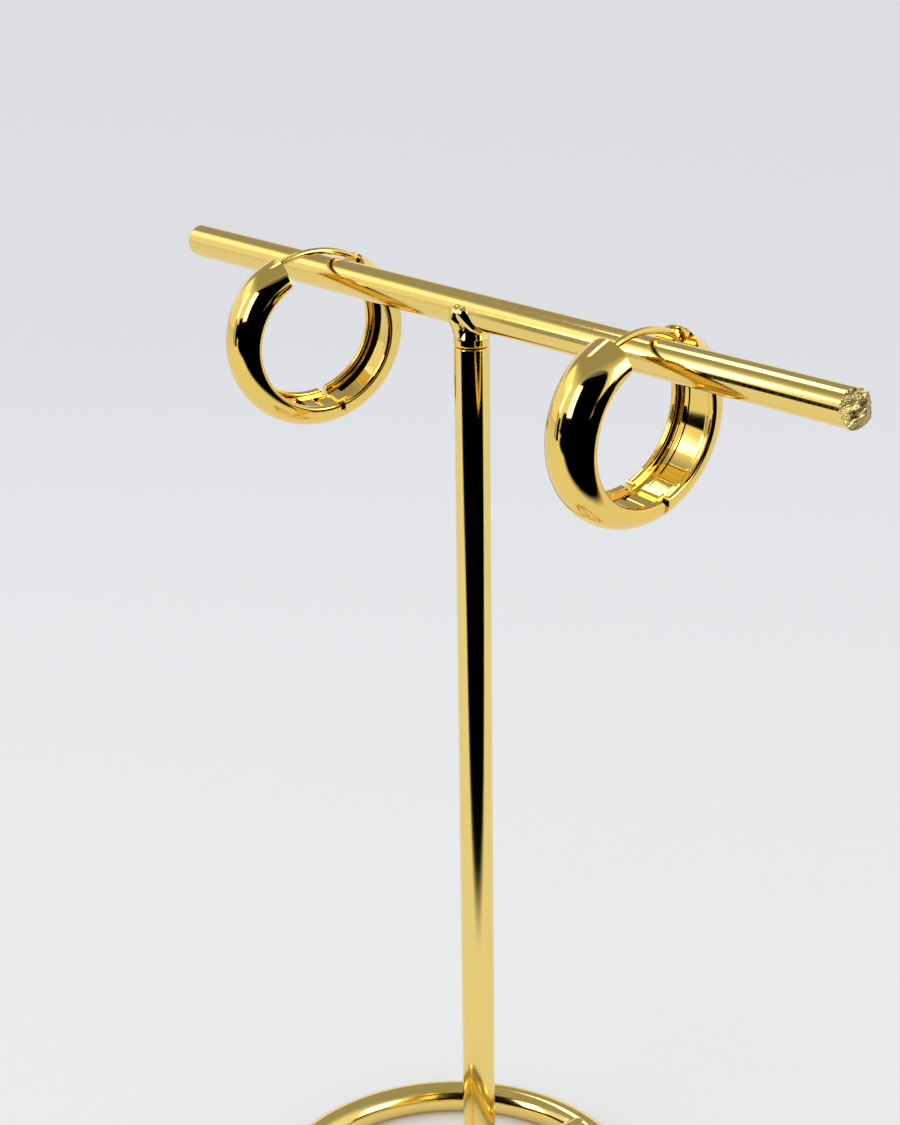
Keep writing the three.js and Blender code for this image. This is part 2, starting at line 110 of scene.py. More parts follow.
class Workpiece:
    """A mesh on the bench, worked in millimetres with its object at the origin."""

    def __init__(self, name: str) -> None:
        """Starts an empty mesh with the piece's name."""
        self.piece = bpy.data.objects.new(name, bpy.data.meshes.new(name))
        bpy.context.scene.collection.objects.link(self.piece)

    def edit(self) -> None:
        """Enters edit mode on this piece unless it is there."""
        editing = bpy.context.mode == "EDIT_MESH"
        if editing and bpy.context.view_layer.objects.active == self.piece:
            return
        activate(self.piece)
        bpy.ops.object.mode_set(mode="EDIT")

    def pick(self, test: Test, element: Element = Element.VERTEX) -> int:
        """Selects what passes a test on its middle, and nothing else.

        Args:
            test: Says of a place whether it is wanted.
            element: Vertices or faces.

        Returns:
            How many were selected.
        """
        self.edit()
        bpy.ops.mesh.select_mode(type=element.value)
        bpy.ops.mesh.select_all(action="DESELECT")
        mesh = bmesh.from_edit_mesh(self.piece.data)
        if element is Element.FACE:
            wanted = [face for face in mesh.faces if test(face.calc_center_median())]
        else:
            wanted = [vertex for vertex in mesh.verts if test(vertex.co)]
        for part in wanted:
            part.select_set(True)
        mesh.select_flush_mode()
        bmesh.update_edit_mesh(self.piece.data)
        return len(wanted)

    def clear(self) -> None:
        """Enters edit mode with nothing selected."""
        self.edit()
        bpy.ops.mesh.select_all(action="DESELECT")

    def add_circle(self, radius: float, sides: int, centre: Vector, axis: Vector,
                   filled: bool) -> None:
        """Adds a circle.

        Args:
            radius: Its radius.
            sides: Its number of vertices.
            centre: Its middle.
            axis: The way that it faces.
            filled: Whether it is a face.
        """
        self.clear()
        bpy.ops.mesh.primitive_circle_add(
            vertices=sides, radius=radius, fill_type="NGON" if filled else "NOTHING",
            location=centre, rotation=turned_towards(axis))

    def add_rod(self, start: Vector, end: Vector, radius: float, sides: int) -> None:
        """Adds a closed cylinder between two points.

        Args:
            start: One end.
            end: The other end.
            radius: Its radius.
            sides: Its number of sides.
        """
        self.clear()
        bpy.ops.mesh.primitive_cylinder_add(
            vertices=sides, radius=radius, depth=(end - start).length, end_fill_type="NGON",
            location=(start + end) / 2, rotation=turned_towards(end - start))

    def add_ball(self, centre: Vector, radius: float, sides: int) -> None:
        """Adds a sphere.

        Args:
            centre: Its middle.
            radius: Its radius.
            sides: Its number of meridians.
        """
        self.clear()
        bpy.ops.mesh.primitive_uv_sphere_add(
            segments=sides, ring_count=sides // 2, radius=radius, location=centre)

    def add_plate(self, outline: list[Vector], width: float) -> None:
        """Adds a flat outline of the hoop's plane and extrudes it across the band.

        Args:
            outline: Its corners.
            width: Its size along X, half to each side.
        """
        self.clear()
        bpy.ops.mesh.primitive_circle_add(vertices=len(outline), fill_type="NGON")
        mesh = bmesh.from_edit_mesh(self.piece.data)
        corners = [vertex for vertex in mesh.verts if vertex.select]
        for corner, point in zip(corners, outline):
            corner.co = Vector((-width / 2, point.y, point.z))
        bmesh.update_edit_mesh(self.piece.data)
        self.extrude(Vector((width, 0, 0)))
        bpy.ops.mesh.select_all(action="SELECT")
        bpy.ops.mesh.normals_make_consistent(inside=False)

    def extrude(self, step: Vector) -> None:
        """Extrudes the selected faces by a step."""
        bpy.ops.mesh.extrude_region_move(TRANSFORM_OT_translate={"value": step})

    def draw_on(self, rise: float) -> None:
        """Draws the selected loose ends of a line on, along Z."""
        bpy.ops.mesh.extrude_vertices_move(TRANSFORM_OT_translate={"value": (0, 0, rise)})

    def stretch(self, factors: Triple, centre: Vector) -> None:
        """Scales the selection along each axis, about a point that stays."""
        bpy.ops.transform.resize(value=factors, center_override=centre)

    def spin(self, degrees: float, steps: int, centre: Vector, axis: Vector) -> None:
        """Spins everything about an axis.

        Args:
            degrees: How far, clockwise when seen along the axis.
            steps: In how many steps.
            centre: A point on the axis.
            axis: The axis.
        """
        self.edit()
        bpy.ops.mesh.select_all(action="SELECT")
        bpy.ops.mesh.spin(steps=steps, angle=math.radians(degrees), center=centre, axis=axis)

    def slice_off(self, point: Vector, normal: Vector, among: Test) -> None:
        """Cuts away what lies on a plane's far side, among some vertices, and closes the cut."""
        self.pick(among)
        bpy.ops.mesh.bisect(plane_co=point, plane_no=normal, use_fill=True, clear_outer=True)

    def round_faces(self, test: Test, radius: float, segments: int) -> None:
        """Rounds the edges of the faces whose middles pass a test."""
        if self.pick(test, Element.FACE):
            bpy.ops.mesh.bevel(offset=radius, segments=segments, affect="EDGES", clamp_overlap=True)

    def turn(self, degrees: float) -> None:
        """Turns the piece about the hoop's axis, so that its top moves towards +Y.

        Args:
            degrees: How far.
        """
        activate(self.piece)
        self.piece.rotation_euler = (-math.radians(degrees), 0, 0)
        bpy.ops.object.transform_apply(location=False, rotation=True, scale=False)

    def apply(self, kind: str, **settings: object) -> None:
        """Applies a modifier.

        Args:
            kind: Blender's name of the modifier.
            **settings: Its settings.
        """
        activate(self.piece)
        modifier = self.piece.modifiers.new(kind.lower(), kind)
        for name, value in settings.items():
            setattr(modifier, name, value)
        bpy.ops.object.modifier_apply(modifier=modifier.name)

    def combine(self, other: "Workpiece", cut: Cut) -> None:
        """Joins another workpiece to this one, or cuts it out. The other is used up.

        Args:
            other: The other workpiece.
            cut: Join or remove.
        """
        self.apply("BOOLEAN", operation=cut.value, solver="EXACT", object=other.piece)
        bpy.data.objects.remove(other.piece)

    def melt(self, voxel: float, passes: int) -> None:
        """Lets joined shapes flow into one skin.

        Args:
            voxel: Fineness of the new skin.
            passes: How often it is smoothed.
        """
        self.apply("REMESH", mode="VOXEL", voxel_size=voxel)
        self.apply("SMOOTH", factor=0.5, iterations=passes)

    def weigh(self, name: str, weight: Callable[[Vector], float]) -> None:
        """Gives the vertices weights by their places.

        Args:
            name: Name of the vertex group.
            weight: Says of a place what it weighs, from 0 to 1.
        """
        activate(self.piece)
        group = self.piece.vertex_groups.new(name=name)
        for vertex in self.piece.data.vertices:
            group.add([vertex.index], weight(vertex.co), "REPLACE")

    def displace(self, group: str, strength: float, direction: str,
                 texture: bpy.types.Texture | None) -> None:
        """Moves the weighted vertices in or out.

        Args:
            group: Name of the vertex group.
            strength: How far, at full weight.
            direction: NORMAL, X, Y or Z.
            texture: What varies the move, or None.
        """
        self.apply("DISPLACE", vertex_group=group, strength=strength, direction=direction,
                   mid_level=0.0 if texture is None else 0.5, texture=texture,
                   texture_coords="LOCAL")

    def close(self, gap: float = 0.004) -> None:
        """Merges doubles and makes the faces point outwards.

        Args:
            gap: How near two vertices are when they are one.
        """
        self.edit()
        bpy.ops.mesh.select_all(action="SELECT")
        bpy.ops.mesh.remove_doubles(threshold=gap)
        bpy.ops.mesh.select_all(action="SELECT")
        bpy.ops.mesh.normals_make_consistent(inside=False)

    def settle(self, place: Matrix, smooth_angle: float) -> Piece:
        """Puts the finished piece in the frame, in metres, with its object at the origin.

        Args:
            place: Where the bench's axes lie in the frame, in millimetres.
            smooth_angle: Edges sharper than this many degrees stay sharp.

        Returns:
            The finished object.
        """
        activate(self.piece)
        self.piece.matrix_world = Matrix.Scale(MM, 4) @ place
        bpy.ops.object.transform_apply(location=True, rotation=True, scale=True)
        bpy.ops.object.shade_smooth_by_angle(angle=math.radians(smooth_angle))
        self.apply("WEIGHTED_NORMAL", keep_sharp=True)
        return self.piece


class NodeBench:
    """Adds and joins the nodes of one material."""

    def __init__(self, name: str) -> None:
        """Starts a material with only its shader and output.

        Args:
            name: Name of the material.
        """
        self.material = bpy.data.materials.new(name)
        self.material.use_nodes = True
        self.tree = self.material.node_tree
        self.shader = self.tree.nodes["Principled BSDF"]
        self.places = self.add("ShaderNodeTexCoord").outputs["Object"]

    @staticmethod
    def dial(node: bpy.types.Node, **values: object) -> None:
        """Sets a node's inputs or settings.

        Args:
            node: The node.
            **values: Input sockets, with underscores for spaces, or settings of the node.
        """
        for name, value in values.items():
            wanted = name.replace("_", " ")
            socket = next((one for one in node.inputs if one.name.lower() == wanted), None)
            if socket is None:
                setattr(node, name, value)
            else:
                socket.default_value = value

    def add(self, kind: str, **values: object) -> bpy.types.Node:
        """Adds a node.

        Args:
            kind: Blender's name of the node.
            **values: Its inputs or settings.

        Returns:
            The node.
        """
        node = self.tree.nodes.new(kind)
        self.dial(node, **values)
        return node

    def join(self, out: Socket, into: Socket) -> None:
        """Joins an output to an input."""
        self.tree.links.new(out, into)

    def noise(self, at: Socket, scale: float, detail: float) -> Socket:
        """Adds a noise.

        Args:
            at: Its coordinates.
            scale: Waves per metre.
            detail: Number of finer layers.

        Returns:
            Its value, from 0 to 1.
        """
        node = self.add("ShaderNodeTexNoise", scale=scale, detail=detail)
        self.join(at, node.inputs["Vector"])
        return node.outputs["Fac"]

    def ramp(self, value: Socket, stops: list[tuple[float, Colour]]) -> Socket:
        """Turns a value into a colour.

        Args:
            value: From 0 to 1.
            stops: Places on the ramp and their colours.

        Returns:
            The colour.
        """
        node = self.add("ShaderNodeValToRGB")
        while len(node.color_ramp.elements) < len(stops):
            node.color_ramp.elements.new(0.5)
        for element, (place, colour) in zip(node.color_ramp.elements, stops):
            element.position = place
            element.color = (*colour, 1.0)
        self.join(value, node.inputs["Fac"])
        return node.outputs["Color"]

    def ranged(self, value: Socket, **values: object) -> Socket:
        """Maps a value from one range to another.

        Args:
            value: The value.
            **values: Both ranges and the kind of step, as the node names them.

        Returns:
            The mapped value.
        """
        node = self.add("ShaderNodeMapRange", **values)
        self.join(value, node.inputs["Value"])
        return node.outputs["Result"]

    def multiplied(self, colour: Socket, other: Socket) -> Socket:
        """Multiplies two colours.

        Args:
            colour: One colour.
            other: The other colour.

        Returns:
            Their product.
        """
        node = self.add("ShaderNodeMix", data_type="RGBA", blend_type="MULTIPLY", factor=1.0)
        first, second = [socket for socket in node.inputs if socket.type == "RGBA"]
        self.join(colour, first)
        self.join(other, second)
        return next(socket for socket in node.outputs if socket.type == "RGBA")

    def bump(self, height: Socket, depth: float, under: Socket | None = None) -> Socket:
        """Adds a bump.

        Args:
            height: What makes it.
            depth: Its depth in metres.
            under: A bump that it is laid on, or None.

        Returns:
            The bumped normal.
        """
        node = self.add("ShaderNodeBump", strength=1.0, distance=depth)
        self.join(height, node.inputs["Height"])
        if under is not None:
            self.join(under, node.inputs["Normal"])
        return node.outputs["Normal"]


@dataclass(frozen=True)
class GoldFinish:
    """Gold-plated metal: how rough it is, how its surface waves, and which way it was drawn."""

    name: str
    colour: Colour
    warm: Colour
    rough_low: float
    rough_high: float
    wave_depth: float
    line_depth: float
    grain: Grain = Grain.EVEN
    pits: bool = False
    wave_scale: float = 260.0
    line_scale: float = 9000.0
    warm_span: tuple[float, float] = (0.35, 0.65)
    line_span: tuple[float, float] = (0.3, 0.7)
    pit_scale: float = 420.0
    pit_reach: float = 0.06
    pit_shade: Colour = (0.25, 0.16, 0.06)

    def make(self) -> bpy.types.Material:
        """Builds the material.

        Returns:
            The material.
        """
        bench = NodeBench(self.name)
        wave = bench.noise(bench.places, self.wave_scale, detail=2.0)
        drawn = bench.add("ShaderNodeMapping", scale=self.grain.value)
        bench.join(bench.places, drawn.inputs["Vector"])
        lines = bench.noise(drawn.outputs["Vector"], self.line_scale, detail=3.0)
        colour = bench.ramp(wave, list(zip(self.warm_span, (self.colour, self.warm))))
        roughness = bench.ranged(lines, from_min=self.line_span[0], from_max=self.line_span[1],
                                 to_min=self.rough_low, to_max=self.rough_high)
        normal = bench.bump(lines, self.line_depth, bench.bump(wave, self.wave_depth))
        if self.pits:
            cells = bench.add("ShaderNodeTexVoronoi", scale=self.pit_scale)
            bench.join(bench.places, cells.inputs["Vector"])
            pit = bench.ramp(cells.outputs["Distance"],
                             [(0.0, self.pit_shade), (self.pit_reach, WHITE)])
            colour = bench.multiplied(colour, pit)
        bench.join(colour, bench.shader.inputs["Base Color"])
        bench.join(roughness, bench.shader.inputs["Roughness"])
        bench.join(normal, bench.shader.inputs["Normal"])
        bench.dial(bench.shader, metallic=1.0)
        return bench.material


EARRING_GOLD = GoldFinish(
    name="polished_gold", colour=(0.91, 0.65, 0.17), warm=(0.93, 0.66, 0.155),
    rough_low=0.035, rough_high=0.07, wave_depth=2.0e-6, line_depth=1.2e-7)
BAR_GOLD = GoldFinish(
    name="drawn_gold_bar", colour=(0.89, 0.66, 0.20), warm=(0.91, 0.67, 0.18), rough_low=0.06,
    rough_high=0.13, wave_depth=1.5e-6, line_depth=6.0e-7, grain=Grain.ALONG_BAR, pits=True)
POST_GOLD = GoldFinish(
    name="drawn_gold_post", colour=(0.92, 0.70, 0.23), warm=(0.94, 0.71, 0.21), rough_low=0.05,
    rough_high=0.11, wave_depth=1.5e-6, line_depth=3.0e-7, grain=Grain.UPRIGHT, pits=True)
RING_GOLD = GoldFinish(
    name="bent_gold_wire", colour=(0.92, 0.70, 0.23), warm=(0.94, 0.71, 0.21),
    rough_low=0.07, rough_high=0.14, wave_depth=2.5e-6, line_depth=3.0e-7, pits=True)
CUT_GOLD = GoldFinish(
    name="cut_gold_end", colour=(0.36, 0.28, 0.10), warm=(0.52, 0.42, 0.17),
    rough_low=0.16, rough_high=0.30, wave_depth=4.0e-6, line_depth=8.0e-6, line_scale=6000.0)
PIN_GOLD = GoldFinish(
    name="pin_gold", colour=(0.85, 0.62, 0.20), warm=(0.80, 0.56, 0.18),
    rough_low=0.2, rough_high=0.3, wave_depth=1.0e-6, line_depth=1.0e-6)


@cache
def material_of(finish: GoldFinish) -> bpy.types.Material:
    """Gives a finish's one material, built when it is first asked for."""
    return finish.make()


def dress(piece: Piece, finish: GoldFinish, body: str, slot: str,
          *nodes: str) -> Piece:
    """Dresses a piece and says what it rides on and stands for.

    Args:
        piece: The finished object.
        finish: Its finish.
        body: The body that it rides on.
        slot: The record's material slot. Not used.
        *nodes: CAD nodes that it stands for.

    Returns:
        The same object.
    """
    piece.data.materials.append(material_of(finish))
    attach(piece, body)
    if nodes:
        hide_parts(*nodes)
    return piece


@dataclass
class Hang:
    """How one earring hangs: places in millimetres and turns in degrees."""

    name: str
    along: float
    offset: float
    turn: float
    lean: float
    wire_arc: float


# Balls that melt into the head's limbs: middles across the bar, behind its front and above its
# axis, and radii.
LOBE = ((-0.3, 0.75, -2.6, 0.98), (-0.25, 0.3, -1.6, 0.90), (-0.2, 0.0, -0.7, 1.02),
        (-0.05, 0.1, -0.1, 1.03))
STRAP = ((0.7, 0.1, -0.05, 0.93), (1.3, 0.2, -0.7, 0.76), (1.8, 0.55, -1.35, 0.66),
         (2.15, 1.1, -1.85, 0.5))


@dataclass
class Stand:
    """Round bar on a post on a ring of wire: sizes in millimetres and turns in degrees."""

    bar_radius: float = 2.0
    bar_length: float = 106.6
    bar_height: float = 117.1
    bar_bevel: float = 0.5
    cut_tilt: float = 19.0
    cut_peak: tuple[float, float] = (0.9, -0.6)
    cut_facets: tuple[float, ...] = (20.0, 140.0, 260.0)
    cut_reach: float = 2.2
    torn_reach: float = 1.5
    torn_margin: float = 0.05
    torn_facing: float = 0.35
    torn_cuts: int = 13
    torn_size: float = 0.9
    torn_depth: float = 0.08
    grain_size: float = 0.11
    grain_depth: float = 0.09
    post_x: float = -0.7
    post_setback: float = 4.4
    post_radius: float = 2.0
    post_foot: float = 2.4
    seam_drop: float = 4.0
    seam_gap: float = 0.08
    seam_edge: float = 0.15
    bead_height: float = 0.9
    neck_radius: float = 1.7
    neck_slope: float = 0.5
    neck_top: float = 0.4
    limb_sink: float = 0.2
    limb_steps: int = 5
    melt_voxel: float = 0.07
    melt_passes: int = 6
    ring_radius: float = 22.8
    ring_wire: float = 2.0
    ring_middle: float = 1.9
    cross_wire: float = 1.9
    solder_rise: float = 0.9
    solder_radius: float = 2.6
    solder_squash: float = 0.55
    sides: int = 96

    def build(self) -> list[Piece]:
        """Builds and dresses the stand's pieces, and gives them back."""
        return [self._ring(), self._post(), self._bar(), self._head()]

    def _ring(self) -> Piece:
        """Ring of round wire, ground flat below, with the cross wire that carries the post.

        Returns:
            The finished piece.
        """
        middle = Vector((self.post_x, 0, self.ring_middle))
        ring = Workpiece("ring_of_wire")
        ring.edit()
        bpy.ops.mesh.primitive_torus_add(
            major_radius=self.ring_radius, minor_radius=self.ring_wire, major_segments=192,
            minor_segments=48, location=middle)
        ring.pick(lambda place: place.z < 0)
        ring.stretch((1, 1, 0), ORIGIN)
        reach = Vector((0, self.ring_radius, 0))
        cross = Workpiece("cross_wire")
        cross.add_rod(middle - reach, middle + reach, self.cross_wire, sides=64)
        top = Vector((self.post_x, self.post_setback, self.ring_middle + self.solder_rise))
        bead = Workpiece("solder_bead")
        bead.add_ball(top, self.solder_radius, sides=48)
        bead.stretch((1, 1, self.solder_squash), top)
        cross.combine(bead, Cut.JOIN)
        ring.combine(cross, Cut.JOIN)
        return dress(ring.settle(Matrix.Identity(4), smooth_angle=30), RING_GOLD, "stand",
                     "stand_gold", "ring_base")

    def _post(self) -> Piece:
        """Round post with its upper edge broken at the seam.

        Returns:
            The finished piece.
        """
        post = Workpiece("round_post")
        foot = Vector((self.post_x, self.post_setback, self.post_foot))
        top = self.bar_height - self.seam_drop - self.seam_gap
        post.add_circle(self.post_radius, self.sides, foot, Z_AXIS, filled=True)
        post.extrude(Vector((0, 0, top - self.post_foot)))
        post.round_faces(lambda place: place.z > top - NEAR, self.seam_edge, segments=4)
        post.close()
        return dress(post.settle(Matrix.Identity(4), smooth_angle=30), POST_GOLD, "stand",
                     "stand_gold", "post")

    def _bar(self) -> Piece:
        """Round bar with one broken edge and one roughly cut end.

        Returns:
            The finished piece.
        """
        bar = Workpiece("round_bar")
        half = self.bar_length / 2
        bar.add_circle(self.bar_radius, self.sides, Vector((-half, 0, 0)), X_AXIS, filled=True)
        bar.extrude(Vector((self.bar_length, 0, 0)))
        bar.round_faces(lambda place: place.x < NEAR - half, self.bar_bevel, segments=6)
        bar.pick(lambda place: True)
        bpy.ops.mesh.bisect(plane_co=(half - self.cut_reach, 0, 0), plane_no=X_AXIS)
        peak = Vector((half, *self.cut_peak))
        tilt = math.radians(self.cut_tilt)
        for facet in self.cut_facets:
            around = math.radians(facet)
            normal = Vector((math.cos(tilt), math.sin(tilt) * math.cos(around),
                             math.sin(tilt) * math.sin(around)))
            bar.slice_off(peak, normal, lambda place: place.x > half - self.cut_reach - NEAR)
        torn_start = half - self.torn_reach
        self._roughen(bar, torn_start)
        place = Matrix.Translation((0, self.post_setback, self.bar_height))
        piece = dress(bar.settle(place, smooth_angle=40), BAR_GOLD, "stand", "bar_gold", "t_bar")
        piece.data.materials.append(material_of(CUT_GOLD))
        for face in piece.data.polygons:
            if face.center.x > torn_start * MM and face.normal.x > self.torn_facing:
                face.material_index = 1
        return piece

    def _roughen(self, bar: Workpiece, start: float) -> None:
        """Gives the cut end its torn, grainy faces.

        Args:
            bar: The bar on the bench.
            start: Place along the bar past which its end is torn.
        """
        inside = self.bar_radius - self.torn_margin
        bar.pick(lambda place: place.x > start and math.hypot(place.y, place.z) < inside,
                 Element.FACE)
        bpy.ops.mesh.poke()
        bpy.ops.mesh.subdivide(number_cuts=self.torn_cuts)
        bar.weigh("cut", lambda place: 1.0 if place.x > start else 0.0)
        torn = bpy.data.textures.new("torn", "VORONOI")
        torn.noise_scale = self.torn_size
        bar.displace("cut", self.torn_depth, "X", torn)
        grain = bpy.data.textures.new("grain", "CLOUDS")
        grain.noise_scale = self.grain_size
        grain.noise_depth = 2
        bar.displace("cut", self.grain_depth, "X", grain)

    def _head(self) -> Piece:
        """Stub under the bar, pressed up its front in a lobe with a strap to the underside.

        Returns:
            The finished piece.
        """
        head = Workpiece("pressed_head")
        bottom = -self.seam_drop + self.seam_gap / 2
        radius = self.post_radius - self.seam_edge
        head.add_circle(radius, self.sides, Vector((0, 0, bottom)), Z_AXIS, filled=True)
        height = bottom
        for rise, wide in (
                (self.seam_edge, self.post_radius), (self.bead_height, self.post_radius),
                (self.bead_height + self.neck_slope, (self.post_radius + self.neck_radius) / 2),
                (self.seam_drop - self.bar_radius, self.neck_radius),
                (self.seam_drop - self.neck_top, self.neck_radius)):
            head.extrude(Vector((0, 0, bottom + rise - height)))
            height = bottom + rise
            head.stretch((wide / radius, wide / radius, 1), Vector((0, 0, height)))
            radius = wide
        head.close()
        self._add_limb(head, LOBE)
        self._add_limb(head, STRAP)
        head.melt(self.melt_voxel, self.melt_passes)
        place = Matrix.Translation((self.post_x, self.post_setback, self.bar_height))
        return dress(head.settle(place, smooth_angle=60), POST_GOLD, "stand", "stand_gold")

    def _add_limb(self, head: Workpiece, limb: tuple[tuple[float, ...], ...]) -> None:
        """Adds a row of overlapping balls to the head, to be melted into one skin.

        Args:
            head: The head on the bench.
            limb: Middles and radii of balls along the row.
        """
        front = self.limb_sink - self.bar_radius
        beads = [(x, front + y, z, radius) for x, y, z, radius in limb]
        for start, end in zip(beads, beads[1:]):
            for step in range(self.limb_steps + 1):
                share = step / self.limb_steps
                *middle, radius = [a + (b - a) * share for a, b in zip(start, end)]
                head.add_ball(Vector(middle), radius, sides=32)


@dataclass
class Earring:
    """Hoop of two halves with a pin hinge, the ear wire in front and its catch at the back.

    Sizes are in millimetres. Angles are in degrees from the hoop's top, towards the back half.
    """

    hang: Hang
    stand: Stand
    seat_gap: float = 0.3
    crown_radius: float = 11.2
    inner_radius: float = 8.2
    band_width: float = 6.4
    rim_width: float = 1.0
    rim_rise: float = 0.4
    rim_round: float = 0.38
    rim_inner_round: float = 0.28
    ledge_depth: float = 0.82
    ledge_width: float = 0.95
    ledge_fillet: float = 0.16
    groove_depth: float = 0.13
    tip_dip: float = 0.35
    tip_dip_arc: float = 25.0
    front_tip: tuple[float, float] = (328.0, 334.0)
    back_tip: tuple[float, float] = (37.0, 30.0)
    hinge_angle: float = 172.0
    hinge_radius: float = 9.7
    hinge_spare: float = 12.0
    open_angle: float = 45.0
    wire_radius: float = 0.4
    wire_root: float = 320.0
    wire_tip: float = 395.5
    scoop_radius: float = 0.85
    socket_radius: float = 0.75
    socket_depth: float = 1.2
    dish_radius: float = 2.4
    dish_depth: float = 0.25
    pin_radius: float = 0.35
    pin_length: float = 4.2
    clearance: float = 0.2
    knuckle_radius: float = 0.8
    slit: float = 0.3
    seen_gap: float = 0.62
    relief_margin: float = 0.1
    tongue_width: float = 2.6
    neck_rise: float = 0.3
    plate_radius: float = 8.75
    plate_arc: float = 17.0
    plate_sink: float = 0.3
    plate_steps: int = 12
    edge_round: float = 0.16
    front_ease: float = 0.4
    back_ease: float = 0.5
    ease_leans: tuple[float, ...] = (15.0, 35.0, 55.0, 75.0)
    ease_reach: float = 3.75
    overcut: float = 1.0
    section_sides: int = 88
    band_steps: int = 120

    def build(self) -> list[Piece]:
        """Builds and dresses both halves and dresses the pin.

        Returns:
            The new pieces.
        """
        name = self.hang.name
        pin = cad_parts[f"{name}_hinge_pin"]
        pin.data.materials.clear()
        pin.data.materials.append(material_of(PIN_GOLD))
        return [
            dress(self._front_half(), EARRING_GOLD, "stand", "earring_gold", f"{name}_front_half"),
            dress(self._back_half(), EARRING_GOLD, f"{name}_back", "earring_gold",
                  f"{name}_back_half"),
        ]

    @property
    def shoulder(self) -> float:
        """Radius where the dome begins."""
        return self.inner_radius + self.rim_rise

    def place(self) -> Matrix:
        """Says where the hoop's own axes lie in the frame.

        Returns:
            The place, in millimetres.
        """
        inside = self.hang.wire_arc - self.wire_radius
        drop = math.sqrt(inside * inside - self.hang.offset * self.hang.offset)
        pivot = Vector((self.stand.post_x + self.hang.along, self.stand.post_setback,
                        self.stand.bar_height + self.stand.bar_radius + self.seat_gap))
        return (Matrix.Translation(pivot) @ Matrix.Rotation(math.radians(self.hang.turn), 4, "Z")
                @ Matrix.Rotation(math.radians(self.hang.lean), 4, "Y")
                @ Matrix.Translation((0, -self.hang.offset, -drop)))

    def polar(self, radius: float, angle: float) -> Vector:
        """Gives a point of the hoop's plane by its distance from the axis and its angle."""
        turn = math.radians(angle)
        return Vector((0, radius * math.sin(turn), radius * math.cos(turn)))

    def from_pin(self, forward: float, outward: float) -> Vector:
        """Gives a point of the hoop's plane, measured from the pin's axis.

        Args:
            forward: Distance along the band, towards the front half.
            outward: Distance away from the hoop's axis.

        Returns:
            The point.
        """
        out = self.polar(1, self.hinge_angle)
        along = Vector((0, out.z, -out.y))
        return self.polar(self.hinge_radius, self.hinge_angle) + forward * along + outward * out

    def on_end(self, tip: tuple[float, float], radius: float) -> Vector:
        """Gives a point of a half's upper end plane.

        Args:
            tip: Angles of the end at the inner radius and at the crown.
            radius: How far out the point lies.

        Returns:
            The point.
        """
        inner = self.polar(self.inner_radius, tip[0])
        crown = self.polar(self.crown_radius, tip[1])
        depth = self.crown_radius - self.inner_radius
        return inner + (crown - inner) * (radius - self.inner_radius) / depth

    def _band(self, name: str, degrees: float) -> Workpiece:
        """Spins the band's section from the top of the hoop.

        Args:
            name: Name of the piece.
            degrees: How far, and positive towards the back half.

        Returns:
            The open band.
        """
        band = Workpiece(name)
        half = self.band_width / 2
        rim_inside = half - self.rim_width
        ledge = self.inner_radius + self.ledge_depth
        middle = Vector((0, 0, self.shoulder))
        band.add_circle(half, self.section_sides, middle, Y_AXIS, filled=False)
        band.pick(lambda place: place.z > self.shoulder + HAIR)
        band.stretch((1, 1, (self.crown_radius - self.shoulder) / half), middle)
        band.pick(lambda place: place.z < self.shoulder - HAIR)
        bpy.ops.mesh.delete(type="VERT")
        band.pick(lambda place: place.z < self.shoulder + HAIR)
        band.draw_on(self.inner_radius - self.shoulder)
        band.draw_on(0)
        band.stretch((rim_inside / half, 1, 1), Vector((0, 0, self.inner_radius)))
        band.draw_on(self.ledge_depth)
        band.draw_on(0)
        band.stretch((1 - self.ledge_width / rim_inside, 1, 1), Vector((0, 0, ledge)))
        band.draw_on(self.groove_depth)
        bpy.ops.mesh.edge_face_add()
        for radius, segments, across, up in (
                (self.rim_round, 6, half, self.inner_radius),
                (self.rim_inner_round, 4, rim_inside, self.inner_radius),
                (self.ledge_fillet, 4, rim_inside, ledge)):
            band.pick(lambda place: abs(abs(place.x) - across) < HAIR and abs(place.z - up) < HAIR)
            bpy.ops.mesh.bevel(offset=radius, offset_type="OFFSET", segments=segments,
                               affect="VERTICES")
        band.spin(degrees, self.band_steps, ORIGIN, X_AXIS)
        band.close()
        return band

    def _sink_tip(self, band: Workpiece, tip: float, towards: float) -> None:
        """Sinks the crown towards the upper end of a half.

        Args:
            band: The half on the bench.
            tip: Angle of the end's crown, from the top.
            towards: 1 where angles grow away from the end, -1 where they fall.
        """

        def weight(place: Vector) -> float:
            """Weighs a place by how near the end and the crown it lies."""
            radius = math.hypot(place.y, place.z)
            angle = math.degrees(math.atan2(place.y, place.z)) % 360
            share = min(1.0, max(0.0, 1 - towards * (angle - tip) / self.tip_dip_arc))
            rise = (radius - self.shoulder) / (self.crown_radius - self.shoulder)
            return share * share * (3 - 2 * share) * min(1.0, max(0.0, rise))

        band.weigh("tip", weight)
        band.displace("tip", -self.tip_dip, "NORMAL", None)

